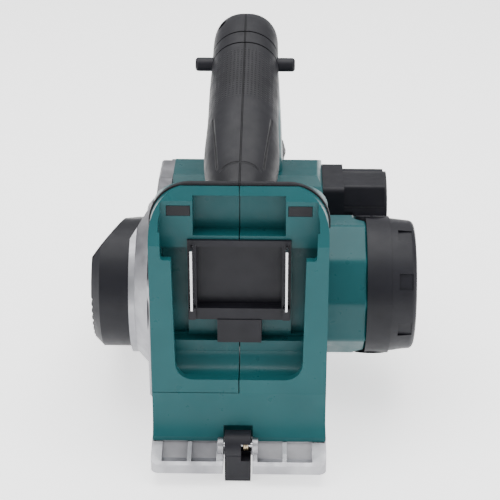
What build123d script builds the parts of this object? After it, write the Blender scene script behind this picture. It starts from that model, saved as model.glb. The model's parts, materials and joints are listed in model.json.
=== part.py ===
from build123d import *
import math
import os

# Cordless electric hand planer, 82 mm cut, in millimetres.
# +Y is the planing direction, +X the motor side, +Z up.
# The origin lies on the rear sole plane at mid width.
os.makedirs("parts", exist_ok=True)

# ---------------------------------------------------------------- driving dimensions
SOLE_WIDTH = 84.0
REAR_Y = -76.0              # rear end of the rear sole
SOLE_TOP = 10.5             # thickness of the rear sole
FRONT_SOLE_END = 214.0
FRONT_SOLE_TOP = 9.0
DRUM_Y, DRUM_Z = 96.0, 28.0
DRUM_RADIUS = 26.0          # drum body
CUT_RADIUS = 28.0           # blade tip circle, tangent to the rear sole
CHAMBER_RADIUS = 30.5
MOTOR_Y, MOTOR_Z = 18.0, 55.6
CAN_RADIUS = 30.0
BELT_RUN_SLOPE = 23.3       # degrees, fall of the upper belt run toward the drum
MOTOR_PULLEY_RADIUS = 8.0
DRUM_PULLEY_RADIUS = 16.0
PULLEY_SPAN = (-65.5, -56.5)    # both pulleys along X
HALF_BODY = 41.5            # half width of the plastic housing
WALL = 2.8
CHIN_HOLLOW = 38.0          # radius of the shallow hollow across the chin
RING_X = 62.5               # joint between motor ring and end cap
CAP_X = 87.3                # outer end of the motor cap
PLATE_INNER_X = -42.2       # frame side plate, inner face
RIM_X = -56.0               # joint between frame rim and belt cover
RAIL_X = -38.6              # inner edge of the frame's top rail
COVER_X = -75.3             # outer face of the belt cover
BAY_WALL_Y = -47.5          # front wall of the battery bay
HANDLE_SLOPE = math.radians(16)
GROOVE_PLACES = (68.0, 77.5)    # rings cut round the handle
FOOT_X0, FOOT_X1 = -6.6, 5.8
FOOT_Y, FOOT_Z = -66.5, 10.6
KNOB_Y = 165.0
BUTTON_Y, BUTTON_Z = 74.0, 155.0
BUTTON_HOLE = 3.95
TRIGGER_Y, TRIGGER_Z = 76.0, 133.0
TRIGGER_PIN = 1.5
DUCT_Y, DUCT_Z = 86.0, 70.0
DUCT_BORE = 15.4
HOSE_BORE = 17.2            # socket for the dust hose
SHAFT_RADIUS = 5.0          # rotor shaft
JOURNAL_RADIUS = 6.0        # drum shaft ends
MOTOR_BEARING = 11.0        # outer radii of the bearings
CAP_BEARING = 8.0
DRUM_BEARING = 13.0
FOOT_PIN = 1.3
STEM_RADIUS = 5.0
BRUSH_X = 66.0
BRUSH_ANGLES = (-112, 68)
GUIDE_Y, GUIDE_Z = 134.5, 37.5  # threaded hole of the guide rule
HOUSING_SCREWS = [(-26, 30), (-26, 98), (52, 26), (59, 84), (112, 66)]      # (y, z)
COVER_SCREWS = [(-4.5, 47.5), (24.0, 33.0), (57.0, 43.0)]                    # (y, z)
BASE_SCREWS = [(-28, -20), (28, -20), (-28, 54), (28, 54)]                  # (x, y)
BOLT_PLACES = (-28, 0, 28)  # blade bolts along the drum
FIT = 0.05                  # radial running fit
SEAM = 0.25                 # half width of the visible joint between the housing halves


# ---------------------------------------------------------------- shape helpers
def block(x0, x1, y0, y1, z0, z1):
    """Box between two opposite corners."""
    centre = Pos((x0 + x1) / 2, (y0 + y1) / 2, (z0 + z1) / 2)
    return centre * Box(x1 - x0, y1 - y0, z1 - z0)


def rod_x(radius, x0, x1, y, z):
    """Round bar along X."""
    return Pos((x0 + x1) / 2, y, z) * Rot(0, 90, 0) * Cylinder(radius, x1 - x0)


def rod_y(radius, x, y0, y1, z):
    """Round bar along Y."""
    return Pos(x, (y0 + y1) / 2, z) * Rot(90, 0, 0) * Cylinder(radius, y1 - y0)


def rod_z(radius, x, y, z0, z1):
    """Round bar along Z."""
    return Pos(x, y, (z0 + z1) / 2) * Cylinder(radius, z1 - z0)


def ring_x(outer, inner, x0, x1, y, z):
    """Round tube along X."""
    return rod_x(outer, x0, x1, y, z) - rod_x(inner, x0 - 1, x1 + 1, y, z)


def outline(points, radius=0.0):
    """Closed flat outline, its corners rounded when a radius is given."""
    face = Polygon(*points, align=None)
    if radius > 0:
        face = fillet(face.vertices(), radius)
    return face


def side_solid(face, x0, x1):
    """Solid between two X planes from a (Y, Z) face."""
    return Pos(x0, 0, 0) * extrude(Plane.YZ * face, x1 - x0, dir=(1, 0, 0))


def rear_solid(face, y0, y1):
    """Solid between two Y planes from an (X, Z) face."""
    return Pos(0, y1, 0) * extrude(Plane.XZ * face, y1 - y0, dir=(0, -1, 0))


def belt_face(motor_radius, drum_radius):
    """(Y, Z) face wrapped round the motor and drum centres."""
    discs = Sketch() + [
        Pos(MOTOR_Y, MOTOR_Z) * Circle(motor_radius),
        Pos(DRUM_Y, DRUM_Z) * Circle(drum_radius),
    ]
    return make_hull(discs.edges())


def screw(x, y, z, head, shank, length, direction):
    """Pan-head screw whose head underside sits at the point, shank along direction."""
    body = Pos(0, 0, -length / 2) * Cylinder(shank, length)
    body += Pos(0, 0, 1.2) * Cylinder(head, 2.4)
    body -= Pos(0, 0, 1.9) * Box(2.4, 0.8, 1.2)
    body -= Pos(0, 0, 1.9) * Box(0.8, 2.4, 1.2)
    return Plane(origin=(x, y, z), z_dir=direction) * body


# ---------------------------------------------------------------- handle sections
HANDLE_STATIONS = [
    # (y, top z, width, height)
    (-40.0, 132.0, 31.0, 27.0),
    (-14.0, 143.0, 34.5, 31.0),
    (14.0, 152.0, 36.0, 34.0),
    (44.0, 161.0, 35.5, 34.5),
    (74.0, 171.0, 34.5, 35.0),
    (92.0, 176.5, 34.0, 34.5),
    (102.0, 176.0, 31.0, 29.5),
    (108.0, 172.0, 23.0, 21.0),
]


def handle_solid(inset, first=0):
    """Bar of the handle, pulled in by the inset all round."""
    faces = []
    for y, top, width, height in HANDLE_STATIONS[first:]:
        plane = Plane(
            origin=(0, y, top - height / 2),
            x_dir=(1, 0, 0),
            z_dir=(0, math.cos(HANDLE_SLOPE), math.sin(HANDLE_SLOPE)),
        )
        w = width - 2 * inset
        h = height - 2 * inset
        faces.append(plane * RectangleRounded(w, h, min(w, h) / 2 - 0.6))
    return loft(faces)


def post_solid(inset):
    """Front post from the body top up into the handle."""
    low = Pos(0, 88, 90) * RectangleRounded(40 - 2 * inset, 48 - 2 * inset, 10)
    mid = Pos(0, 88, 118) * RectangleRounded(38 - 2 * inset, 37 - 2 * inset, 10)
    high = Pos(0, 92, 154) * RectangleRounded(33 - 2 * inset, 36 - 2 * inset, 10)
    return loft([low, mid, high])


# ---------------------------------------------------------------- housing
BODY_PROFILE = [
    (-63.2, 10.5), (-63.2, 17.4), (-62.2, 18.4), (-61, 36), (-61, 92), (30, 88.8), (58, 93), (66, 96),
    (90, 95.5), (108, 88), (122, 74), (129, 56), (129, 12), (120, 10.5),
]
HOOD_PROFILE = [
    (-61, 36), (-61, 112.6), (-43, 135), (-37, 134), (-25, 120), (-16, 104), (-12, 86),
    (-12, 36),
]


def body_rear_face(inset):
    """(X, Z) outline of the body behind the drum."""
    half = HALF_BODY - inset
    points = [(-half, 0), (half, 0), (half, 97.5 - inset), (-half, 97.5 - inset)]
    face = Polygon(*points, align=None)
    top = face.vertices().sort_by(Axis.Y)[-2:]
    return fillet(top, 8)


def hood_rear_face(inset):
    """(X, Z) outline of the hood arch over the battery bay."""
    half = HALF_BODY - inset
    points = [(-half, 30), (half, 30), (half, 135.5 - inset), (-half, 135.5 - inset)]
    face = Polygon(*points, align=None)
    top = face.vertices().sort_by(Axis.Y)[-2:]
    return fillet(top, 19 - inset)


def shell_solid():
    """Outside of both housing halves together."""
    body = side_solid(outline(BODY_PROFILE), -HALF_BODY, HALF_BODY)
    body &= rear_solid(body_rear_face(0), -64, 131)
    hood = side_solid(outline(HOOD_PROFILE), -HALF_BODY, HALF_BODY)
    hood &= rear_solid(hood_rear_face(0), -62, -11)
    return body + hood + handle_solid(2.6, 1) + post_solid(0)


def bay_solid():
    """Space of the battery bay, with its rails and latch recess."""
    slot_face = outline([(-37.25, 43), (37.25, 43), (37.25, 129.6), (-37.25, 129.6)], 9)
    mouth_face = outline([(-30, 43), (30, 43), (31.4, 116), (-31.4, 116)], 8.5)
    throat_face = outline([(-36, 105.4), (36, 105.4), (36.6, 129.4), (-36.6, 129.4)], 1.5)
    bay = rear_solid(slot_face, -57, BAY_WALL_Y)
    bay += rear_solid(mouth_face, -64, -56)
    bay += rear_solid(throat_face, -64, -47.6)
    bay += block(-21.6, 21.6, -60, -38, 112, 131.5)
    for side in (-1, 1):
        bay += Pos(side * 30.6, -46.5, 82) * Box(12.0, 14.6, 48)
    bay += block(-36.6, 36.6, -50, -42, 57, 69)
    shelf = block(-38, 38, -56.0, -47.4, 42, 51.5) - rod_x(8.8, -40, 40, -56.4, 51.8)
    return bay - shelf


def housing_cavity():
    """Hollow inside of the body, hood and post."""
    inner = offset(outline(BODY_PROFILE), -WALL, kind=Kind.INTERSECTION)
    body = side_solid(inner, -HALF_BODY + WALL, HALF_BODY - WALL)
    body &= rear_solid(body_rear_face(WALL), -44.5, 131)
    body -= block(-50, 50, -50, -39.4, 53.5, 110)
    for side in (-1, 1):
        body -= Pos(side * 34, -42, 81.75) * Box(28, 13, 56.5)
    body += block(-36, 36, -58, -40, 14, 39)
    body -= block(-10.2, 9.0, -64, -55.8, 10, 22)
    body += block(-32, 32, -35, -18, 20, 106)
    body += block(-38.7, 38.7, -30, 66.4, 8, 20)
    bar = handle_solid(5.2, 1) - block(-30, 30, 104, 120, 100, 190)
    return body + post_solid(WALL) + bar


def make_housing():
    """Both plastic halves of the main housing."""
    shell = shell_solid() - bay_solid() - housing_cavity()
    shell -= rod_x(35.4, -60, 60, DRUM_Y, DRUM_Z)
    shell -= block(-50, HALF_BODY - WALL, -30.2, 66.4, 8, 15.2)
    shell -= block(-50, 50, 88, 131, 8, 44)
    shell -= rod_x(14.5, -50, -30, MOTOR_Y, MOTOR_Z)
    shell -= block(-50, RAIL_X + 0.15, 2, 104, 85.5, 110)
    shell -= rod_x(CAN_RADIUS + 0.4, 30, 50, MOTOR_Y, MOTOR_Z)
    shell -= rod_x(17.6, 30, 50, DUCT_Y, DUCT_Z)
    shell -= rod_x(CHIN_HOLLOW, -60, 60, -60.2 - CHIN_HOLLOW, 27.5)
    shell -= block(-24.3, 24.3, -50, -34, 69, 110.2)
    shell -= block(-10.6, 10.6, -50, -34, 57, 70)
    for side in (-1, 1):
        shell -= Pos(side * 28.2, -45.5, 124.5) * Box(11.2, 9, 5.2)
    shell -= block(-7.4, 6.6, -70, FOOT_Y + 7.6, 8, 18.2)
    shell -= trigger_slot()
    shell -= rod_x(BUTTON_HOLE, -30, 30, BUTTON_Y, BUTTON_Z)
    for x0, x1 in ((-16, -9.4), (9.4, 16)):
        shell += rod_x(3.6, x0, x1, TRIGGER_Y, TRIGGER_Z)
    shell -= rod_x(TRIGGER_PIN, -13, 13, TRIGGER_Y, TRIGGER_Z)
    for y, z in HOUSING_SCREWS:
        shell += rod_x(4.2, -40, 40, y, z)
        shell -= rod_x(1.55, -50, 34, y, z)
        shell -= rod_x(3.6, -50, -36, y, z)
    right_side = block(0, 60, -70, 140, 0, 190) + block(-50, 1, -70, -30, 0, 36)
    shell -= block(-SEAM, SEAM, -70, -36, 36, 140) + block(-50, SEAM, -70, -59.5, 35.7, 36)
    return shell - right_side, shell & right_side


def trigger_slot():
    """Opening for the trigger in the underside of the handle and the post."""
    return block(-8.6, 8.6, 28, 74, 105, 146) + block(-8.6, 8.6, 66, 81.5, 122, 146)


def make_grip(side):
    """Soft overmould on one side of the handle, with its half of the hood collar."""
    half = block(0, 60, -60, 140, 60, 200) if side > 0 else block(-60, 0, -60, 140, 60, 200)
    core = handle_solid(2.6, 1) & half
    skin = (handle_solid(0) & half) - core
    skin -= post_solid(0)
    skin -= rear_solid(hood_rear_face(0), -62, -11) & side_solid(outline(HOOD_PROFILE), -60, 60)
    skin -= block(-60, 60, -60, 140, 60, 112)
    skin -= block(-60, 60, 60, 140, 60, 137)
    collar = rear_solid(hood_rear_face(-0.9), -42.2, -40.2) & half
    collar &= block(-60, 60, -50, -30, 114, 140)
    hood = side_solid(outline(HOOD_PROFILE), -60, 60) & rear_solid(hood_rear_face(0), -62, -11)
    skin += collar - hood - core
    skin -= trigger_slot()
    skin -= rod_x(BUTTON_HOLE, -30, 30, BUTTON_Y, BUTTON_Z)
    for y in GROOVE_PLACES:
        slab = Plane(
            origin=(0, y, 165),
            z_dir=(0, math.cos(HANDLE_SLOPE), math.sin(HANDLE_SLOPE)),
        ) * Box(60, 60, 0.9)
        skin -= slab - handle_solid(0.7)
    skin -= Plane(origin=(-13.5, 92, 172), z_dir=(-0.62, 0, 0.78)) * Cylinder(2.8, 12)
    return skin


# ---------------------------------------------------------------- soles and frame
def make_rear_base():
    """Rear sole with its four rear pockets, foot slot and foot lugs."""
    profile = [
        (REAR_Y, 0), (100, 0), (100, SOLE_TOP), (-62, SOLE_TOP), (-74, 5.8), (REAR_Y, 4.6),
    ]
    sole = side_solid(outline(profile), -SOLE_WIDTH / 2, SOLE_WIDTH / 2)
    corners = sole.edges().filter_by(Axis.Z).group_by(Axis.Y)[0]
    sole = fillet(corners, 4)
    pocket = [(-74.2, 12), (-74.2, 4.2), (-67, 3.2), (-62.4, 9), (-62.4, 12)]
    for x0, x1 in ((-36.8, -24.6), (-22.6, -10.6), (9.0, 21.0), (23.0, 35.2)):
        sole -= side_solid(outline(pocket), x0, x1)
    sole -= block(-7.4, 6.6, -80, FOOT_Y + 7.6, -1, 12)
    for x0, x1 in ((-10.0, -7.4), (6.6, 9.2)):
        lug = rod_x(3.4, x0, x1, FOOT_Y, FOOT_Z) + block(x0, x1, FOOT_Y - 3.4, -63.2, 4, FOOT_Z)
        sole += lug
    sole -= rod_x(FOOT_PIN, -12, 12, FOOT_Y, FOOT_Z)
    sole -= rod_x(29.5, -60, 60, DRUM_Y, DRUM_Z)
    for x, y in BASE_SCREWS:
        sole -= rod_z(2.2, x, y, -1, 12)
        sole -= Pos(x, y, 1.6) * Cone(4.6, 2.2, 3.2)
    return sole


def make_base_screws():
    """Countersunk screws that hold the rear sole to the frame."""
    screws = []
    for x, y in BASE_SCREWS:
        body = rod_z(2.0, x, y, 3.2, 15.5) + Pos(x, y, 1.9) * Cone(4.1, 2.0, 2.6)
        screws.append(body - rod_z(1.2, x, y, 0, 2.2))
    return Compound(children=screws)


def along_run(points):
    """Prism along the upper run of the belt, its outline given as (x, height over the motor axis)."""
    slope = math.radians(BELT_RUN_SLOPE)
    plane = Plane(
        origin=(0, MOTOR_Y, MOTOR_Z),
        x_dir=(1, 0, 0),
        z_dir=(0, -math.cos(slope), math.sin(slope)),
    )
    return extrude(plane * outline(points), 130, both=True)


def cover_wedge(shift):
    """Sloping upper part of the joint between frame rim and belt cover."""
    return along_run([
        (-48.3 - shift, 37), (-48.3 - shift, 70), (-62, 70), (-62, 11.8 + 1.84 * shift),
    ])


def make_frame():
    """Die-cast frame: side plate, belt rim, drum chamber, floor and front nose."""
    flange = [
        (-24, 10.7), (-27, 40), (-24, 74), (-6, 86.5), (28, 90.5), (62, 95.4), (90, 94.8),
        (113, 80), (132, 46), (132, 14), (124, 1.5), (88, 1.5), (78, 10.7),
    ]
    plate = outline(flange, 3)
    frame = side_solid(plate, -46, PLATE_INNER_X)
    frame = chamfer(frame.faces().sort_by(Axis.X)[0].edges(), 0.9)
    rail = side_solid(plate, -43, RAIL_X) & block(-50, -30, 2.2, 103.8, 85.7, 110)
    frame += rail - side_solid(offset(outline(BODY_PROFILE), -3), -60, 0)
    slope = loft([
        Plane(origin=(-46, 0, 0), x_dir=(0, 1, 0), z_dir=(1, 0, 0)) * belt_face(43.5, 31),
        Plane(origin=(-53, 0, 0), x_dir=(0, 1, 0), z_dir=(1, 0, 0)) * belt_face(36, 30),
    ])
    frame += slope & block(-60, 0, -60, 160, 1.5, 120)
    rim = belt_face(36, 30) & outline([(-40, 1.5), (160, 1.5), (160, 120), (-40, 120)])
    frame += side_solid(rim, RIM_X, -45)
    frame -= side_solid(belt_face(30.2, 26), RIM_X - 1, -48)
    chamber = rod_x(34.5, -46, 47, DRUM_Y, DRUM_Z)
    chamber += block(-46, 41.0, 88, 140, 10.4, 41)
    chamber += block(-44, 38.4, -30, 66, SOLE_TOP + 0.1, 15)
    frame += chamber
    nose = outline([(126, 10.4), (203, 10.4), (203, 32), (192, 38.5), (126, 41)], 2)
    frame += side_solid(nose, -36, 36)
    frame += rod_z(24, 0, KNOB_Y, 30, 43)
    frame -= rod_x(CHAMBER_RADIUS, PLATE_INNER_X, 42.2, DRUM_Y, DRUM_Z)
    frame -= block(-60, 60, 60, 135, -9, 1.5)
    frame -= block(PLATE_INNER_X, -PLATE_INNER_X, 40, 140, -9, SOLE_TOP)
    frame -= block(PLATE_INNER_X, 42.2, DRUM_Y - 22, DRUM_Y + 26, -5, 16)
    frame -= block(-39, 39, 128.5, 135, 5, 34)
    frame -= rod_z(8.2, 0, KNOB_Y, 20, 50)
    frame -= block(-34, 36, 84, 104, 55, 70)
    frame -= rod_x(DRUM_BEARING + 0.02, -46, -38, DRUM_Y, DRUM_Z)
    frame -= rod_x(7.5, -60, -30, DRUM_Y, DRUM_Z)
    frame -= rod_x(MOTOR_BEARING + 0.02, 42, 46, DRUM_Y, DRUM_Z)
    frame += rod_x(13.8, -45, -36, MOTOR_Y, MOTOR_Z)
    frame += rod_x(6.0, -46, -30, GUIDE_Y, GUIDE_Z)
    frame -= block(-33, 33, 133, 199.5, 5, 34)
    frame -= rod_x(2.5, -47, -32, GUIDE_Y, GUIDE_Z)
    frame -= rod_x(MOTOR_BEARING + 0.02, -44, -35, MOTOR_Y, MOTOR_Z)
    frame -= rod_x(7.0, -60, -30, MOTOR_Y, MOTOR_Z)
    for x, y in BASE_SCREWS:
        frame += rod_z(5, x, y, 14, 19)
        frame -= rod_z(2.0, x, y, 8, 15.6)
    for y, z in COVER_SCREWS:
        frame += rod_x(4.5, RIM_X, -45, y, z)
        frame -= rod_x(1.6, RIM_X - 1, -50, y, z)
    return frame - cover_wedge(0)


def make_front_base():
    """Front sole with three chamfering grooves and its slide post."""
    sole = block(-42, 42, 100, FRONT_SOLE_END, 0, FRONT_SOLE_TOP - 1.0)
    corners = sole.edges().filter_by(Axis.Z).group_by(Axis.Y)[-1]
    sole = fillet(corners, 5)
    nose = [(208, -1), (216, -1), (216, 3)]
    sole -= side_solid(outline(nose), -60, 60)
    sole -= rod_x(32.0, -60, 60, DRUM_Y, DRUM_Z)
    sole -= block(-60, 60, 90, 111, -1, 20)
    for x in (-22.0, 0.0, 22.0):
        groove = outline([(x - 3.4, -0.1), (x + 3.4, -0.1), (x, 3.2)])
        sole -= rear_solid(groove, 100, 220)
    sole += block(-32.6, 32.6, 140, 192, 6, 24)
    sole -= block(-26, 26, 176.5, 190, 10, 30)
    sole -= block(-26, 26, 142, 153.5, 10, 30)
    sole -= rod_z(STEM_RADIUS + FIT, 0, KNOB_Y, 4, 30)
    return sole


def make_knob():
    """Depth knob with its grooved grip and screw stem."""
    profile = [
        (0, 84.5), (9, 84), (16, 81), (20.5, 76.5), (22, 71), (20.5, 64.5), (17.5, 57),
        (17.5, 52), (23.0, 50.5), (23.0, 44.0), (0, 44.0),
    ]
    body = revolve(Plane.XZ * outline(profile), Axis.Z)
    for step in range(12):
        angle = math.radians(30 * step)
        x = 23.6 * math.cos(angle)
        y = 23.6 * math.sin(angle)
        body -= rod_z(2.4, x, y, 54, 90)
    return Pos(0, KNOB_Y, 0) * body


def make_knob_screw():
    """Steel stem of the depth knob."""
    return rod_z(STEM_RADIUS, 0, KNOB_Y, 8.5, 44.0) + rod_z(7.8, 0, KNOB_Y, 36, 44.0)


def make_depth_ring():
    """Graduated ring on the frame nose under the knob."""
    return rod_z(23.5, 0, KNOB_Y, 43.0, 43.6) - rod_z(12, 0, KNOB_Y, 40, 50)


# ---------------------------------------------------------------- cutter drum
def make_drum():
    """Two-blade cutter drum with its shaft journals and clamp seats."""
    drum = rod_x(DRUM_RADIUS, -41.0, 41.0, DRUM_Y, DRUM_Z)
    drum += rod_x(JOURNAL_RADIUS, -64.5, 45.8, DRUM_Y, DRUM_Z)
    drum -= rod_x(3.0, -67, -50, DRUM_Y, DRUM_Z)
    for turn in (0, 180):
        drum -= about_drum(block(-50, 50, -9, 30, 19.5, 40), turn)
        drum -= about_drum(block(-50, 50, -13, -9, 17.0, 40), turn)
    for turn in (0, 180):
        for x in BOLT_PLACES:
            drum -= about_drum(rod_z(2.2, x, 3, 8, 22), turn)
    return drum


def about_drum(shape, turn):
    """Place a shape given about the X axis onto the drum axis, turned."""
    return Pos(0, DRUM_Y, DRUM_Z) * Rot(turn, 0, 0) * shape


def make_blades():
    """Two reversible blades, tips on the cutting circle."""
    blade = block(-41, 41, -12.6, -11.0, 17.5, 25.2)
    edge = side_solid(outline([(-12.6, 25.1), (-11.0, 25.1), (-12.6, 25.0)]), -41, 41)
    return Compound(children=[about_drum(blade + edge, turn) for turn in (0, 180)])


def make_clamps():
    """Two clamp covers that hold the blades on the drum."""
    face = outline([(-10.9, 19.6), (15.0, 19.6), (15.0, 20.5), (8, 23.6), (-4, 24.9), (-9.6, 24.4)])
    cover = side_solid(face, -40.5, 40.5)
    for x in BOLT_PLACES:
        cover -= rod_z(2.3, x, 3, 15, 30)
        cover -= rod_z(4.4, x, 3, 21.6, 30)
    return Compound(children=[about_drum(cover, turn) for turn in (0, 180)])


def make_blade_bolts():
    """Flanged bolts through the clamp covers."""
    bolts = []
    for turn in (0, 180):
        for x in BOLT_PLACES:
            bolt = rod_z(2.1, x, 3, 9, 22) + rod_z(4.0, x, 3, 21.65, 24.2)
            bolts.append(about_drum(bolt - rod_z(1.6, x, 3, 22.6, 26), turn))
    return Compound(children=bolts)


def pulley(radius, y, z, bore):
    """Grooved belt pulley with two flanges."""
    x0, x1 = PULLEY_SPAN
    wheel = rod_x(radius, x0, x1, y, z)
    count = 6
    pitch = (x1 - x0 - 2.0) / count
    for index in range(count):
        x = x0 + 1.0 + pitch * (index + 0.5)
        wheel -= ring_x(radius + 1, radius - 1.1, x - 0.5, x + 0.5, y, z)
    wheel += ring_x(radius + 1.2, bore, x0, x0 + 1.0, y, z)
    wheel += ring_x(radius + 1.2, bore, x1 - 1.0, x1, y, z)
    return wheel - rod_x(bore, x0 - 1, x1 + 1, y, z)


def make_belt():
    """Ribbed drive belt round both pulleys."""
    outer = belt_face(MOTOR_PULLEY_RADIUS + 2.1, DRUM_PULLEY_RADIUS + 2.1)
    inner = belt_face(MOTOR_PULLEY_RADIUS + 0.4, DRUM_PULLEY_RADIUS + 0.4)
    return side_solid(outer, -64.1, -57.9) - side_solid(inner, -68, -57)


# ---------------------------------------------------------------- motor
def facet_face(flat):
    """Ten-sided (Y, Z) face with softened corners."""
    corner = flat / math.cos(math.radians(18))
    points = []
    for index in range(10):
        angle = math.radians(153 + 18 + 36 * index)
        points.append((MOTOR_Y + corner * math.cos(angle), MOTOR_Z + corner * math.sin(angle)))
    return outline(points, 6)


def make_motor_ring():
    """Faceted housing ring between the body and the motor cap."""
    ring = side_solid(facet_face(34.0), HALF_BODY, RING_X)
    ring = chamfer(ring.faces().sort_by(Axis.X)[-1].edges(), 1.0)
    ring -= rod_x(CAN_RADIUS + 0.4, HALF_BODY - 1, RING_X + 1, MOTOR_Y, MOTOR_Z)
    for angle in BRUSH_ANGLES:
        ring -= brush_rod(10.4, 28, 45, angle)
    return ring


def brush_rod(radius, near, far, angle):
    """Radial bar from the motor axis at the brush station."""
    bar = Pos(0, 0, (near + far) / 2) * Cylinder(radius, far - near)
    return Pos(BRUSH_X, MOTOR_Y, MOTOR_Z) * Rot(angle - 90, 0, 0) * bar


def make_motor_cap():
    """Dark end cap with vent recesses round its outer edge."""
    step_x = RING_X + 12
    dome = Pos((step_x + CAP_X) / 2, MOTOR_Y, MOTOR_Z) * Rot(0, 90, 0) * Cone(34.2, 32.8, CAP_X - step_x)
    dome = fillet(dome.faces().sort_by(Axis.X)[-1].edges(), 3)
    cap = rod_x(35.2, RING_X, step_x, MOTOR_Y, MOTOR_Z) + dome
    cap -= rod_x(31.4, RING_X - 1, step_x, MOTOR_Y, MOTOR_Z)
    cap -= rod_x(30.0, RING_X, CAP_X - 3, MOTOR_Y, MOTOR_Z)
    cap += ring_x(12.5, CAP_BEARING + 0.02, 76.5, CAP_X - 2, MOTOR_Y, MOTOR_Z)
    for index in range(8):
        notch = block(CAP_X - 9, CAP_X - 2, -4, 4, 32.3, 37)
        cap -= Pos(0, MOTOR_Y, MOTOR_Z) * Rot(45 * index + 17, 0, 0) * notch
    for radius in (14, 19, 24):
        slot = ring_x(radius + 1.2, radius - 1.2, CAP_X - 5, CAP_X + 1, MOTOR_Y, MOTOR_Z)
        for index in range(4):
            rib = block(CAP_X - 8, CAP_X + 2, -3, 3, 0, 30)
            slot -= Pos(0, MOTOR_Y, MOTOR_Z) * Rot(90 * index + 45, 0, 0) * rib
        cap -= slot
    for angle in BRUSH_ANGLES:
        cap -= brush_rod(8.6, 20, 45, angle)
    return cap


def make_brush_holders():
    """Insulated brass-lined holders guiding the two brushes."""
    holders = []
    for angle in BRUSH_ANGLES:
        tube = brush_rod(5.4, 14.5, 31.2, angle)
        slot = Pos(0, 0, 22) * Box(7.0, 4.6, 24)
        holders.append(tube - Pos(BRUSH_X, MOTOR_Y, MOTOR_Z) * Rot(angle - 90, 0, 0) * slot)
    return Compound(children=holders)


def make_brushes():
    """Two carbon brushes bearing toward the commutator."""
    brushes = []
    for angle in BRUSH_ANGLES:
        bar = Pos(0, 0, 20) * Box(6.6, 4.2, 14)
        brushes.append(Pos(BRUSH_X, MOTOR_Y, MOTOR_Z) * Rot(angle - 90, 0, 0) * bar)
    return Compound(children=brushes)


def make_brush_caps():
    """Slotted round brush caps set into the motor housing."""
    caps = []
    for angle in BRUSH_ANGLES:
        cap = brush_rod(8.4, 31.6, 35.0, angle)
        slot = Pos(0, 0, 35) * Box(1.6, 10, 2.4)
        caps.append(cap - Pos(BRUSH_X, MOTOR_Y, MOTOR_Z) * Rot(angle - 90, 0, 0) * slot)
    return Compound(children=caps)


def make_armature():
    """Slotted laminated core with end windings."""
    core = rod_x(22.0, 4, 38, MOTOR_Y, MOTOR_Z)
    for index in range(12):
        slot = block(0, 50, -1.3, 1.3, 19, 24)
        core -= Pos(0, MOTOR_Y, MOTOR_Z) * Rot(30 * index, 0, 0) * slot
    return core - rod_x(SHAFT_RADIUS, 0, 50, MOTOR_Y, MOTOR_Z)


def make_windings():
    """Copper end windings either side of the core."""
    inner_end = ring_x(19.0, 5.6, -2, 4, MOTOR_Y, MOTOR_Z)
    return inner_end + ring_x(19.0, 5.6, 38, 46, MOTOR_Y, MOTOR_Z)


def make_fan():
    """Radial cooling fan on the rotor shaft."""
    fan = ring_x(26, SHAFT_RADIUS, -14, -12.5, MOTOR_Y, MOTOR_Z)
    fan += ring_x(9, SHAFT_RADIUS, -14, -6, MOTOR_Y, MOTOR_Z)
    for index in range(11):
        blade = block(-12.6, -6, -0.8, 0.8, 8, 25.5)
        fan += Pos(0, MOTOR_Y, MOTOR_Z) * Rot(360 / 11 * index, 0, 0) * blade
    return fan


# ---------------------------------------------------------------- covers and fittings
def make_belt_cover():
    """Ribbed belt cover with a large chamfer along its upper outer edge."""
    cover = side_solid(belt_face(33.0, 27.5), COVER_X, RIM_X)
    cover = chamfer(cover.faces().sort_by(Axis.X)[0].edges(), 4.5)
    cover += side_solid(belt_face(33.0, 27.5), RIM_X, -47.6) & cover_wedge(0.3)
    hollow = side_solid(belt_face(30.2, 25.4), COVER_X + 2.6, -40)
    hollow -= along_run([(-56.2, 36.2), (-84, 36.2), (-84, -1.3)])
    cover -= hollow
    cover -= along_run([(-58.5, 36.2), (-84, 36.2), (-84, 1.8)])
    for index in range(7):
        cover -= rod_y(1.3, COVER_X - 0.5, -30, 62, 35 + 4.0 * index)
    for y, z in COVER_SCREWS:
        cover += rod_x(5.0, -73.5, RIM_X, y, z) & side_solid(belt_face(33.0, 27.5), -75, RIM_X)
        cover -= rod_x(2.0, -80, -50, y, z)
        cover -= rod_x(3.6, -80, -68, y, z)
    return cover


def make_nozzle():
    """Chip outlet: flange box, flat-topped cuff and round hose spigot."""
    flange = outline([(64, 51), (105, 51), (105, 84), (99, 89.6), (64, 89.6)], 3)
    cuff = outline([(67, 76), (101, 76), (101, 82.5), (95, 88.6), (70, 88.6)], 2)
    nozzle = side_solid(flange, HALF_BODY + 0.1, 53)
    nozzle += rod_x(19.2, 50, 76.5, DUCT_Y, DUCT_Z)
    nozzle += side_solid(cuff, 50, 75)
    nozzle -= rod_x(DUCT_BORE, 30, 60, DUCT_Y, DUCT_Z)
    nozzle -= rod_x(HOSE_BORE, 55, 80, DUCT_Y, DUCT_Z)
    nozzle -= block(53, 58, DUCT_Y - 24, DUCT_Y - 18.2, DUCT_Z + 2, DUCT_Z + 4.5)
    nozzle -= rod_x(36.4, 30, 80, MOTOR_Y, MOTOR_Z)
    nozzle -= rod_x(35.0, 30, 47.6, DRUM_Y, DRUM_Z)
    return nozzle


def make_duct():
    """Inner chip duct between the drum chamber and the nozzle."""
    duct = rod_x(17.0, -30, 41.4, DUCT_Y, DUCT_Z) - rod_x(DUCT_BORE, -28, 50, DUCT_Y, DUCT_Z)
    duct -= rod_x(35.0, -60, 60, DRUM_Y, DRUM_Z)
    duct -= block(-26, 36, 70, 104, 50, 66)
    return duct


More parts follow.
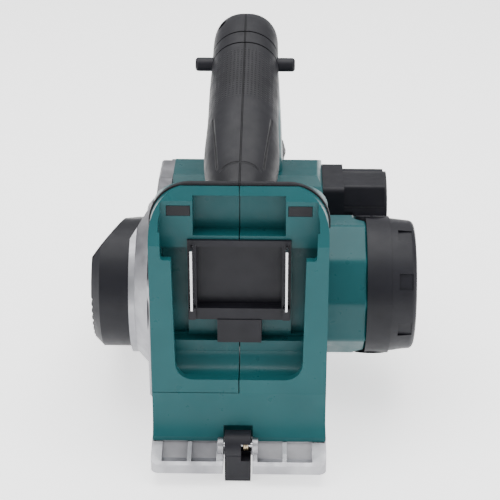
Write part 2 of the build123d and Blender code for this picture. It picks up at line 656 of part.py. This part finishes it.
def make_terminal_block():
    """Dark contact carrier facing the battery."""
    plate = block(-24.2, 24.2, BAY_WALL_Y - 1.5, -41, 69.1, 110.1)
    plate += block(-10.5, 10.5, BAY_WALL_Y - 2.0, -41, 57.1, 69.2)
    plate -= block(-20, 20, -60, -43.2, 75, 107)
    plate += block(-23.8, -20.5, -51.5, BAY_WALL_Y, 70, 76) + block(20.5, 23.8, -51.5, BAY_WALL_Y, 70, 76)
    for side in (-1, 1):
        plate -= Pos(side * 22.2, -46, 92) * Box(1.1, 14, 31.1)
    return plate


def make_terminal_blades():
    """Two flat contact blades."""
    blades = []
    for side in (-1, 1):
        blade = block(-0.5, 0.5, -55.5, -41, 76.6, 107.4)
        blades.append(Pos(side * 22.2, 0, 0) * blade)
    return Compound(children=blades)


def make_foot():
    """Rear rest foot hinged on its pin."""
    profile = [(-73.4, 9), (-72.0, -6.8), (-63.0, -6.8), (-60.0, 6)]
    foot = side_solid(outline(profile, 0.8), FOOT_X0, FOOT_X1)
    foot += rod_x(7.0, FOOT_X0, FOOT_X1, FOOT_Y, FOOT_Z)
    foot -= rod_x(FOOT_PIN + FIT, -12, 12, FOOT_Y, FOOT_Z)
    foot -= rod_x(3.7, 1.2, 12, FOOT_Y, FOOT_Z)
    foot -= block(1.2, 12, FOOT_Y - 12, FOOT_Y, 5.4, 14.2)
    return foot


def make_foot_spring():
    """Torsion spring round the foot pin."""
    wires = []
    for index in range(3):
        coil = Torus(2.3, 0.55)
        wires.append(Pos(2.2 + 1.2 * index, FOOT_Y, FOOT_Z) * Rot(0, 90, 0) * coil)
    return Compound(children=wires)


def make_trigger():
    """Trigger paddle under the front of the handle."""
    profile = [
        (80, 133), (77, 127), (66, 119), (50, 113.5), (38, 111.5), (33, 113), (33.5, 118),
        (37, 124), (38, 131), (60, 135.5), (78, 137),
    ]
    paddle = side_solid(outline(profile, 1.2), -8.0, 8.0)
    return paddle - rod_x(TRIGGER_PIN + FIT, -20, 20, TRIGGER_Y, TRIGGER_Z)


def make_wires():
    """Lead wires from the terminal block down to the speed controller."""
    wires = []
    for x in (-14, 14):
        wire = rod_y(1.3, x, -41, -36.6, 80) + rod_z(1.3, x, -37.9, 52, 80)
        wires.append(wire + Pos(x, -37.9, 80) * Sphere(1.3))
    return Compound(children=wires)


def make_controller():
    """Speed controller in its finned aluminium tray."""
    tray = block(-28, 28, -44.4, -32, 18, 52)
    for index in range(8):
        tray -= block(-25.5 + 6.6 * index, -21.5 + 6.6 * index, -36, -31, 17, 53)
    return tray


def make_switch():
    """Switch body above the trigger with its plunger."""
    return block(-7.5, 7.5, 40, 66, 139.4, 150) + rod_z(2.0, 0, 52, 150, 151.5)


def make_button():
    """Lock-off bar pushed from either side of the handle."""
    bar = rod_x(3.6, -26, 26, BUTTON_Y, BUTTON_Z)
    bar = fillet(bar.edges(), 1.6)
    return bar + rod_x(5.0, -6, 6, BUTTON_Y, BUTTON_Z)


def make_cushions():
    """Two rubber strips in the bay wall above the terminals."""
    strips = [Pos(side * 28.2, -44.4, 124.5) * Box(10.8, 6.5, 4.8) for side in (-1, 1)]
    return Compound(children=strips)


def make_magnets():
    """Two curved stator magnets."""
    shell = ring_x(28.0, 23.0, 2, 42, MOTOR_Y, MOTOR_Z)
    arcs = []
    for side in (-1, 1):
        y0, y1 = sorted((MOTOR_Y + side * 8, MOTOR_Y + side * 40))
        arcs.append(shell & block(0, 50, y0, y1, 0, 120))
    return Compound(children=arcs)


def make_commutator():
    """Copper commutator with twelve bars."""
    drum = ring_x(12.6, SHAFT_RADIUS, 60, 72, MOTOR_Y, MOTOR_Z)
    for index in range(12):
        slot = block(59, 70, -0.3, 0.3, 11.4, 14)
        drum -= Pos(0, MOTOR_Y, MOTOR_Z) * Rot(30 * index, 0, 0) * slot
    return drum


def make_pulley_bolt():
    """Bolt and washer that hold the drum pulley."""
    head = extrude(Plane.YZ * RegularPolygon(5.5, 6), 3.5, dir=(1, 0, 0))
    bolt = Pos(-70.2, DRUM_Y, DRUM_Z) * head + rod_x(8.5, -66.7, -65.5, DRUM_Y, DRUM_Z)
    return bolt + rod_x(2.9, -67, -52, DRUM_Y, DRUM_Z)


def make_side_screws(places, x, length):
    """Screws entered from the left side."""
    return Compound(children=[screw(x, y, z, 3.2, 1.5, length, (-1, 0, 0)) for y, z in places])


# ---------------------------------------------------------------- assembly
housing_left, housing_right = make_housing()

nodes = {
    "frame_casting": make_frame(),
    "rear_base": make_rear_base(),
    "base_screws": make_base_screws(),
    "housing_left": housing_left,
    "housing_right": housing_right,
    "handle_grip_left": make_grip(-1),
    "handle_grip_right": make_grip(1),
    "motor_housing": make_motor_ring(),
    "motor_end_cap": make_motor_cap(),
    "brush_holders": make_brush_holders(),
    "carbon_brushes": make_brushes(),
    "brush_caps": make_brush_caps(),
    "belt_cover": make_belt_cover(),
    "chip_nozzle": make_nozzle(),
    "chip_duct": make_duct(),
    "terminal_block": make_terminal_block(),
    "terminal_blades": make_terminal_blades(),
    "rear_foot": make_foot(),
    "foot_pin": rod_x(FOOT_PIN, -9.9, 9.1, FOOT_Y, FOOT_Z),
    "foot_spring": make_foot_spring(),
    "front_base": make_front_base(),
    "depth_knob": make_knob(),
    "depth_screw": make_knob_screw(),
    "depth_ring": make_depth_ring(),
    "cutter_drum": make_drum(),
    "drum_blades": make_blades(),
    "blade_clamps": make_clamps(),
    "blade_bolts": make_blade_bolts(),
    "drum_pulley": pulley(DRUM_PULLEY_RADIUS, DRUM_Y, DRUM_Z, JOURNAL_RADIUS),
    "motor_pulley": pulley(MOTOR_PULLEY_RADIUS, MOTOR_Y, MOTOR_Z, SHAFT_RADIUS),
    "drive_belt": make_belt(),
    "armature_core": make_armature(),
    "windings": make_windings(),
    "cooling_fan": make_fan(),
    "trigger": make_trigger(),
    "trigger_pin": rod_x(TRIGGER_PIN, -12.8, 12.8, TRIGGER_Y, TRIGGER_Z),
    "lock_off_button": make_button(),
    "switch_body": make_switch(),
    "speed_controller": make_controller(),
    "lead_wires": make_wires(),
    "bay_cushions": make_cushions(),
    "stator_can": ring_x(CAN_RADIUS, 28.0, -18, 60, MOTOR_Y, MOTOR_Z),
    "stator_magnets": make_magnets(),
    "commutator": make_commutator(),
    "rotor_shaft": rod_x(SHAFT_RADIUS, -66.2, 84, MOTOR_Y, MOTOR_Z),
    "motor_bearings": Compound(children=[
        ring_x(MOTOR_BEARING, SHAFT_RADIUS + FIT, -43.9, -36.2, MOTOR_Y, MOTOR_Z),
        ring_x(CAP_BEARING, SHAFT_RADIUS + FIT, 77, 84.2, MOTOR_Y, MOTOR_Z),
    ]),
    "drum_bearings": Compound(children=[
        ring_x(DRUM_BEARING, JOURNAL_RADIUS + FIT, -45.9, -42.4, DRUM_Y, DRUM_Z),
        ring_x(MOTOR_BEARING, JOURNAL_RADIUS + FIT, 42.4, 45.9, DRUM_Y, DRUM_Z),
    ]),
    "pulley_bolt": make_pulley_bolt(),
    "housing_screws": make_side_screws(HOUSING_SCREWS, -36, 44),
    "cover_screws": make_side_screws(COVER_SCREWS, -68, 15),
}

for name, shape in nodes.items():
    export_step(shape, f"parts/{name}.step")
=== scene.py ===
import json
import math

import bmesh
import bpy
from mathutils import Matrix, Vector


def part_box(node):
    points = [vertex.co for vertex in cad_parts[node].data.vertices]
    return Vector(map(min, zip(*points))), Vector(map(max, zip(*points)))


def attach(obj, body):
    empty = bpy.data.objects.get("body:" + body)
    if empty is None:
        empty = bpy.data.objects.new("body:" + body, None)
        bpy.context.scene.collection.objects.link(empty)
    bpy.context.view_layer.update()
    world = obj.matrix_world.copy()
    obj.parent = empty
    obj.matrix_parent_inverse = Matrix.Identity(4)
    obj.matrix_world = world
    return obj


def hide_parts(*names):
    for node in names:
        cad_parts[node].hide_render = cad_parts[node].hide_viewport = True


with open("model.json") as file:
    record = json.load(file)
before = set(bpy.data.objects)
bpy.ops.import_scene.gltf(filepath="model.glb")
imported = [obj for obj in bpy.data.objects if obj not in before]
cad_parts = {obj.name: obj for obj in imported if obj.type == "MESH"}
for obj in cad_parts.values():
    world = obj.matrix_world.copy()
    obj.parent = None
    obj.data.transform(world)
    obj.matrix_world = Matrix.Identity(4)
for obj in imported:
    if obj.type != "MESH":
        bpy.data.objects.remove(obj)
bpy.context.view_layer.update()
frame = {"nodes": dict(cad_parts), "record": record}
nodes = frame["nodes"]

# ------------------------------------------------------------------ camera, in metres
AZIMUTH = math.radians(1.2)
ELEVATION = math.radians(25.0)
REAR_EDGE = Vector((0.0, -0.076, 0.0))
STAND_OFF = 0.750
LENS_RAISE = 0.107
LENS_RIGHT = 0.0056
LENS_MM = 113.1
SENSOR_WIDTH = 36.0

# ------------------------------------------------------------------ studio, in metres and watts
SKY_LEVEL = 1.1
SKY_LOW = (0.30, 0.30, 0.32)
SKY_HIGH = (1.0, 1.0, 1.0)
SKY_BLEND = (-0.05, 0.75)
TABLE_GLOW = 1.3
FLOOR_HALF = 8.0
FLOOR_UNDER_FOOT = (0.0, -0.063, -0.0069)
FLOOR_RISE = 0.0068
FLOOR_RUN = 0.277
SOFT_BOXES = (
    # name, place, target, size, watts
    ("overhead", (0.0, 0.1, 0.9), (0.0, 0.02, 0.05), (1.0, 0.9), 12.0),
    ("left_box", (-0.9, -0.5, 0.55), (0.0, 0.0, 0.06), (0.6, 0.9), 5.0),
    ("right_box", (0.9, -0.4, 0.5), (0.0, 0.0, 0.06), (0.6, 0.9), 4.0),
)

# ------------------------------------------------------------------ wear and casting texture
SCUFF_STRETCH = (1.0, 0.25, 0.6)
SCUFF_ROUGHNESS = 0.05
SCUFF_SCALE = 32.0
SCUFF_EDGE = (0.50, 0.75)
DRIFT_SCALE = 38.0
GLOSS_SCALE = 160.0
GRAIN_STRENGTH = 0.35
CAST_GRAIN = 1400.0
CAST_WAVE_SCALE = 70.0
CAST_WAVE_DEPTH = 0.0012

# ------------------------------------------------------------------ grip pattern, in metres
PANEL_HALF = 0.0132
PANEL_TAPER = 0.085
PANEL_REAR = -0.026
PANEL_FRONT = 0.014
ARCH_CURVE = 30.0
ARCH_HALF = (0.0085, 0.0100)
PANEL_LINE = (0.0002, 0.0007)
ARCH_LINE = (0.0003, 0.0009)
SEAM_LINE = (0.00015, 0.0005)
STUD_REAR = 0.024
STUD_FRONT = 0.062
STUD_PITCH = 0.0018
STUD_WAVES = 2.0 * math.pi / STUD_PITCH
END_SOFTNESS = 0.001
SEAM_ABOVE = 0.120
SEAM_FADE = 0.006
RELIEF_DEPTH = 0.0006
RELIEF_STRENGTH = 0.8
STUD_WEIGHT = 0.8
# painted shade: colour darkened into the parting-line, panel-line and arch grooves, and how strongly it
# is mixed in
GROOVE_SHADE_TONE = (0.003, 0.003, 0.004)
GROOVE_SHADE_WEIGHT = 0.8

# ------------------------------------------------------------------ parking foot spring
SPRING_WIRE = 0.00055
SPRING_TURNS = 3.0
SPRING_STEPS = 160
WIRE_SIDES = 16


def make_camera():
    """Long-lens camera behind the tool, looking down on it."""
    level = Vector((-math.sin(AZIMUTH), math.cos(AZIMUTH), 0.0))
    right = Vector((math.cos(AZIMUTH), math.sin(AZIMUTH), 0.0))
    look = level * math.cos(ELEVATION) - Vector((0, 0, math.sin(ELEVATION)))
    up = level * math.sin(ELEVATION) + Vector((0, 0, math.cos(ELEVATION)))
    data = bpy.data.cameras.new("camera")
    data.lens = LENS_MM
    data.sensor_width = SENSOR_WIDTH
    data.dof.use_dof = False
    camera = bpy.data.objects.new("camera", data)
    bpy.context.collection.objects.link(camera)
    turn = Matrix((right, up, -look)).transposed().to_4x4()
    place = REAR_EDGE + right * LENS_RIGHT + up * LENS_RAISE - look * STAND_OFF
    camera.matrix_world = Matrix.Translation(place) @ turn
    bpy.context.scene.camera = camera


# ------------------------------------------------------------------ studio
def area_light(name, place, target, size, watts):
    """Soft rectangular light aimed at a point."""
    data = bpy.data.lights.new(name, "AREA")
    data.shape = "RECTANGLE"
    data.size = size[0]
    data.size_y = size[1]
    data.energy = watts
    light = bpy.data.objects.new(name, data)
    bpy.context.collection.objects.link(light)
    light.location = place
    aim = Vector(target) - Vector(place)
    light.rotation_euler = aim.to_track_quat("-Z", "Y").to_euler()


def make_studio():
    """Pale sky, three soft boxes, and a floor that touches the parking foot and the front shoe."""
    world = bpy.data.worlds.new("studio")
    bpy.context.scene.world = world
    world.use_nodes = True
    tree = world.node_tree
    back = tree.nodes["Background"]
    back.inputs["Strength"].default_value = SKY_LEVEL
    split = axes(tree, "Generated")
    rise = ramp(tree, split.outputs["Z"], 0.0, 1.0, *SKY_BLEND)
    tree.links.new(mix_colour(tree, rise, SKY_LOW, SKY_HIGH), back.inputs["Color"])
    for soft_box in SOFT_BOXES:
        area_light(*soft_box)
    floor = flat_sheet("floor", FLOOR_HALF)
    lean = math.atan2(FLOOR_RISE, FLOOR_RUN)
    floor.matrix_world = Matrix.Translation(FLOOR_UNDER_FOOT) @ Matrix.Rotation(lean, 4, "X")
    floor.data.materials.append(floor_material())


def flat_sheet(name, half):
    """Flat square sheet."""
    mesh = bpy.data.meshes.new(name)
    corners = [(-half, -half, 0), (half, -half, 0), (half, half, 0), (-half, half, 0)]
    mesh.from_pydata(corners, [], [(0, 1, 2, 3)])
    obj = bpy.data.objects.new(name, mesh)
    bpy.context.collection.objects.link(obj)
    return obj


# ------------------------------------------------------------------ materials
def new_material(name):
    """Empty node material and its principled shader."""
    material = bpy.data.materials.new(name)
    material.use_nodes = True
    shader = material.node_tree.nodes["Principled BSDF"]
    return material, material.node_tree, shader


def axes(tree, space):
    """The three coordinates of a texture space, as separate signals."""
    coords = tree.nodes.new("ShaderNodeTexCoord")
    split = tree.nodes.new("ShaderNodeSeparateXYZ")
    tree.links.new(coords.outputs[space], split.inputs["Vector"])
    return split


def noise(tree, scale, detail, stretch=(1, 1, 1)):
    """Noise in object space, optionally stretched."""
    coords = tree.nodes.new("ShaderNodeTexCoord")
    mapping = tree.nodes.new("ShaderNodeMapping")
    mapping.inputs["Scale"].default_value = stretch
    texture = tree.nodes.new("ShaderNodeTexNoise")
    texture.inputs["Scale"].default_value = scale
    texture.inputs["Detail"].default_value = detail
    tree.links.new(coords.outputs["Object"], mapping.inputs["Vector"])
    tree.links.new(mapping.outputs["Vector"], texture.inputs["Vector"])
    return texture.outputs["Fac"]


def ramp(tree, source, low, high, from_low=0.3, from_high=0.7):
    """Map a 0..1 signal to a range."""
    node = tree.nodes.new("ShaderNodeMapRange")
    node.inputs["From Min"].default_value = from_low
    node.inputs["From Max"].default_value = from_high
    node.inputs["To Min"].default_value = low
    node.inputs["To Max"].default_value = high
    tree.links.new(source, node.inputs["Value"])
    return node.outputs["Result"]


def mix_colour(tree, factor, first, second):
    """Blend two colours by a signal."""
    node = tree.nodes.new("ShaderNodeMix")
    node.data_type = "RGBA"
    node.inputs["A"].default_value = (*first, 1.0)
    node.inputs["B"].default_value = (*second, 1.0)
    tree.links.new(factor, node.inputs["Factor"])
    return node.outputs["Result"]


def bump(tree, height, strength, distance, normal_input):
    """Feed a height signal, as a bump, to the normal of a shader or of another bump."""
    node = tree.nodes.new("ShaderNodeBump")
    node.inputs["Strength"].default_value = strength
    node.inputs["Distance"].default_value = distance
    tree.links.new(height, node.inputs["Height"])
    tree.links.new(node.outputs["Normal"], normal_input)
    return node


def surface(name, dark, light, rough, grain, depth, metal=0.0, specular=0.5):
    """General moulded or metal surface: tint and gloss drift, scuffs, fine grain bump."""
    material, tree, shader = new_material(name)
    shade = ramp(tree, noise(tree, DRIFT_SCALE, 4.0), 0.0, 1.0)
    tree.links.new(mix_colour(tree, shade, dark, light), shader.inputs["Base Color"])
    gloss = ramp(tree, noise(tree, GLOSS_SCALE, 3.0), *rough)
    scuffs = ramp(tree, noise(tree, SCUFF_SCALE, 2.0, SCUFF_STRETCH), 0.0, SCUFF_ROUGHNESS, *SCUFF_EDGE)
    tree.links.new(value_node(tree, "ADD", gloss, scuffs), shader.inputs["Roughness"])
    bump(tree, noise(tree, grain, 2.0), GRAIN_STRENGTH, depth, shader.inputs["Normal"])
    shader.inputs["Metallic"].default_value = metal
    shader.inputs["Specular IOR Level"].default_value = specular
    return material


def cast_metal(name, dark, light):
    """Tumbled die casting: mottled tone, fine sandy grain over slow surface waves."""
    material = surface(name, dark, light, (0.30, 0.52), CAST_GRAIN, 0.00012, metal=1.0)
    tree = material.node_tree
    grain_bump = tree.nodes["Principled BSDF"].inputs["Normal"].links[0].from_node
    bump(tree, noise(tree, CAST_WAVE_SCALE, 2.0), 0.5, CAST_WAVE_DEPTH, grain_bump.inputs["Normal"])
    return material


def value_node(tree, operation, first, second=None, third=None):
    """One math step on signals or numbers."""
    node = tree.nodes.new("ShaderNodeMath")
    node.operation = operation
    for index, source in enumerate((first, second, third)):
        if source is None:
            continue
        if isinstance(source, (int, float)):
            node.inputs[index].default_value = source
        else:
            tree.links.new(source, node.inputs[index])
    return node.outputs[0]


def band(tree, signal, low, high, soft):
    """1 between two values of a signal, with soft edges."""
    rise = ramp(tree, signal, 0.0, 1.0, low - soft, low + soft)
    fall = ramp(tree, signal, 1.0, 0.0, high - soft, high + soft)
    return value_node(tree, "MULTIPLY", rise, fall)


def grip_material():
    """Soft overmould: parting line, side panel lines and a studded band across the palm; the line
    grooves also carry painted shade that darkens their colour.
    """
    material = surface(
        "grip_rubber", (0.008, 0.008, 0.010), (0.012, 0.012, 0.015), (0.42, 0.56), 3000.0, 0.00004,
        specular=0.2)
    tree = material.node_tree
    shader = tree.nodes["Principled BSDF"]
    split = axes(tree, "Object")
    across = value_node(tree, "ABSOLUTE", split.outputs["X"])
    along, height = split.outputs["Y"], split.outputs["Z"]
    edge = value_node(tree, "MULTIPLY_ADD", along, PANEL_TAPER, PANEL_HALF)
    offset = value_node(tree, "ABSOLUTE", value_node(tree, "SUBTRACT", across, edge))
    panel = ramp(tree, offset, 1.0, 0.0, *PANEL_LINE)
    ends = band(tree, along, PANEL_REAR, PANEL_FRONT, END_SOFTNESS)
    panel = value_node(tree, "MULTIPLY", panel, ends)
    bow = value_node(tree, "MULTIPLY", across, across)
    arch = value_node(tree, "MULTIPLY_ADD", bow, -ARCH_CURVE, PANEL_REAR)
    arch = value_node(tree, "ABSOLUTE", value_node(tree, "SUBTRACT", along, arch))
    arch = ramp(tree, arch, 1.0, 0.0, *ARCH_LINE)
    arch = value_node(tree, "MULTIPLY", arch, ramp(tree, across, 1.0, 0.0, *ARCH_HALF))
    seam = ramp(tree, across, 1.0, 0.0, *SEAM_LINE)
    upper = ramp(tree, height, 0.0, 1.0, SEAM_ABOVE, SEAM_ABOVE + SEAM_FADE)
    # the lines mask cuts the grooves into the bump and also sets where painted shade darkens the colour
    lines = value_node(tree, "MAXIMUM", value_node(tree, "MAXIMUM", panel, seam), arch)
    lines = value_node(tree, "MULTIPLY", lines, upper)
    waves_x = value_node(tree, "SINE", value_node(tree, "MULTIPLY", split.outputs["X"], STUD_WAVES))
    waves_y = value_node(tree, "SINE", value_node(tree, "MULTIPLY", along, STUD_WAVES))
    rows = value_node(tree, "MAXIMUM", waves_y, 0.0)
    studs = value_node(tree, "MULTIPLY", value_node(tree, "MAXIMUM", waves_x, 0.0), rows)
    palm = band(tree, along, STUD_REAR, STUD_FRONT, END_SOFTNESS)
    studs = value_node(tree, "MULTIPLY", studs, palm)
    relief = value_node(tree, "SUBTRACT", value_node(tree, "MULTIPLY", studs, STUD_WEIGHT), lines)
    grain_normal = shader.inputs["Normal"].links[0].from_socket
    shape_bump = bump(tree, relief, RELIEF_STRENGTH, RELIEF_DEPTH, shader.inputs["Normal"])
    tree.links.new(grain_normal, shape_bump.inputs["Normal"])
    # painted shade: the groove lines darken the base colour, standing in for shade inside the grooves
    body = shader.inputs["Base Color"].links[0].from_socket
    mix = tree.nodes.new("ShaderNodeMix")
    mix.data_type = "RGBA"
    mix.inputs["B"].default_value = (*GROOVE_SHADE_TONE, 1.0)
    tree.links.new(value_node(tree, "MULTIPLY", lines, GROOVE_SHADE_WEIGHT), mix.inputs["Factor"])
    tree.links.new(body, mix.inputs["A"])
    tree.links.new(mix.outputs["Result"], shader.inputs["Base Color"])
    return material


def floor_material():
    """Seamless white paper, lit through from below like a product table."""
    material = surface(
        "floor_paper", (0.90, 0.90, 0.90), (0.92, 0.92, 0.92), (0.7, 0.8), 900.0, 0.00005)
    shader = material.node_tree.nodes["Principled BSDF"]
    shader.inputs["Emission Color"].default_value = (1.0, 1.0, 1.0, 1.0)
    shader.inputs["Emission Strength"].default_value = TABLE_GLOW
    return material


def make_materials():
    """One look per material slot of the record."""
    return {
        "teal_plastic": surface(
            "teal_plastic", (0.005, 0.060, 0.067), (0.007, 0.070, 0.077), (0.26, 0.38), 2600.0, 0.00003,
            specular=0.2),
        "black_plastic": surface(
            "black_plastic", (0.008, 0.008, 0.011), (0.012, 0.012, 0.016), (0.38, 0.50), 2200.0, 0.00005,
            specular=0.2),
        "grip_rubber": grip_material(),
        "cast_aluminium": cast_metal("cast_aluminium", (0.20, 0.20, 0.215), (0.36, 0.36, 0.38)),
        "machined_sole": cast_metal("machined_sole", (0.20, 0.20, 0.215), (0.44, 0.44, 0.46)),
        "steel": surface(
            "steel", (0.55, 0.55, 0.57), (0.66, 0.66, 0.68), (0.18, 0.34), 1500.0, 0.00003, metal=1.0),
        "spring_brass": surface(
            "spring_brass", (0.50, 0.40, 0.26), (0.62, 0.51, 0.34), (0.25, 0.4), 1500.0, 0.00002,
            metal=1.0),
        "copper": surface(
            "copper", (0.55, 0.25, 0.13), (0.68, 0.34, 0.18), (0.3, 0.5), 1800.0, 0.0001, metal=1.0),
        "magnet": surface(
            "magnet", (0.05, 0.05, 0.055), (0.08, 0.08, 0.085), (0.5, 0.7), 900.0, 0.00008, metal=0.3),
        "belt_rubber": surface(
            "belt_rubber", (0.012, 0.012, 0.012), (0.02, 0.02, 0.02), (0.6, 0.75), 2000.0, 0.00006),
        "blade_steel": surface(
            "blade_steel", (0.62, 0.62, 0.64), (0.74, 0.74, 0.76), (0.14, 0.28), 1200.0, 0.00002,
            metal=1.0),
    }


def dress_frame(materials):
    """Give every shown frame node the look of its slot."""
    for part in frame["record"]["subparts"]:
        mesh = nodes[part["node"]].data
        mesh.materials.clear()
        mesh.materials.append(materials[part["material_slot"]])


def sweep_wire(name, points, radius):
    """Round wire mesh along a list of points."""
    mesh = bmesh.new()
    rings = []
    for index, point in enumerate(points):
        before = points[max(index - 1, 0)]
        after = points[min(index + 1, len(points) - 1)]
        tangent = (after - before).normalized()
        side = tangent.cross(Vector((1.0, 0.0, 0.02))).normalized()
        lift = tangent.cross(side)
        ring = []
        for step in range(WIRE_SIDES):
            angle = 2.0 * math.pi * step / WIRE_SIDES
            spoke = side * math.cos(angle) + lift * math.sin(angle)
            ring.append(mesh.verts.new(point + radius * spoke))
        rings.append(ring)
    for first, second in zip(rings, rings[1:]):
        for step in range(WIRE_SIDES):
            after = (step + 1) % WIRE_SIDES
            mesh.faces.new((first[step], first[after], second[after], second[step]))
    mesh.faces.new(reversed(rings[0]))
    mesh.faces.new(rings[-1])
    bmesh.ops.recalc_face_normals(mesh, faces=mesh.faces)
    data = bpy.data.meshes.new(name)
    mesh.to_mesh(data)
    mesh.free()
    data.polygons.foreach_set("use_smooth", [True] * len(data.polygons))
    obj = bpy.data.objects.new(name, data)
    bpy.context.collection.objects.link(obj)
    return obj


def make_foot_spring(materials):
    """Helical torsion spring round the foot pin, in place of plain rings."""
    low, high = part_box("foot_spring")
    centre = (Vector(low) + Vector(high)) / 2.0
    radius = (high[1] - low[1]) / 2.0 - SPRING_WIRE
    length = high[0] - low[0] - 2.0 * SPRING_WIRE
    points = []
    for index in range(SPRING_STEPS + 1):
        share = index / SPRING_STEPS
        angle = 2.0 * math.pi * SPRING_TURNS * share
        x = low[0] + SPRING_WIRE + length * share
        y = centre[1] + radius * math.cos(angle)
        z = centre[2] + radius * math.sin(angle)
        points.append(Vector((x, y, z)))
    spring = sweep_wire("foot_spring_coil", points, SPRING_WIRE)
    spring.data.materials.append(materials["spring_brass"])
    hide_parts("foot_spring")
    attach(spring, "machine_body")


make_camera()
make_studio()
looks = make_materials()
dress_frame(looks)
make_foot_spring(looks)
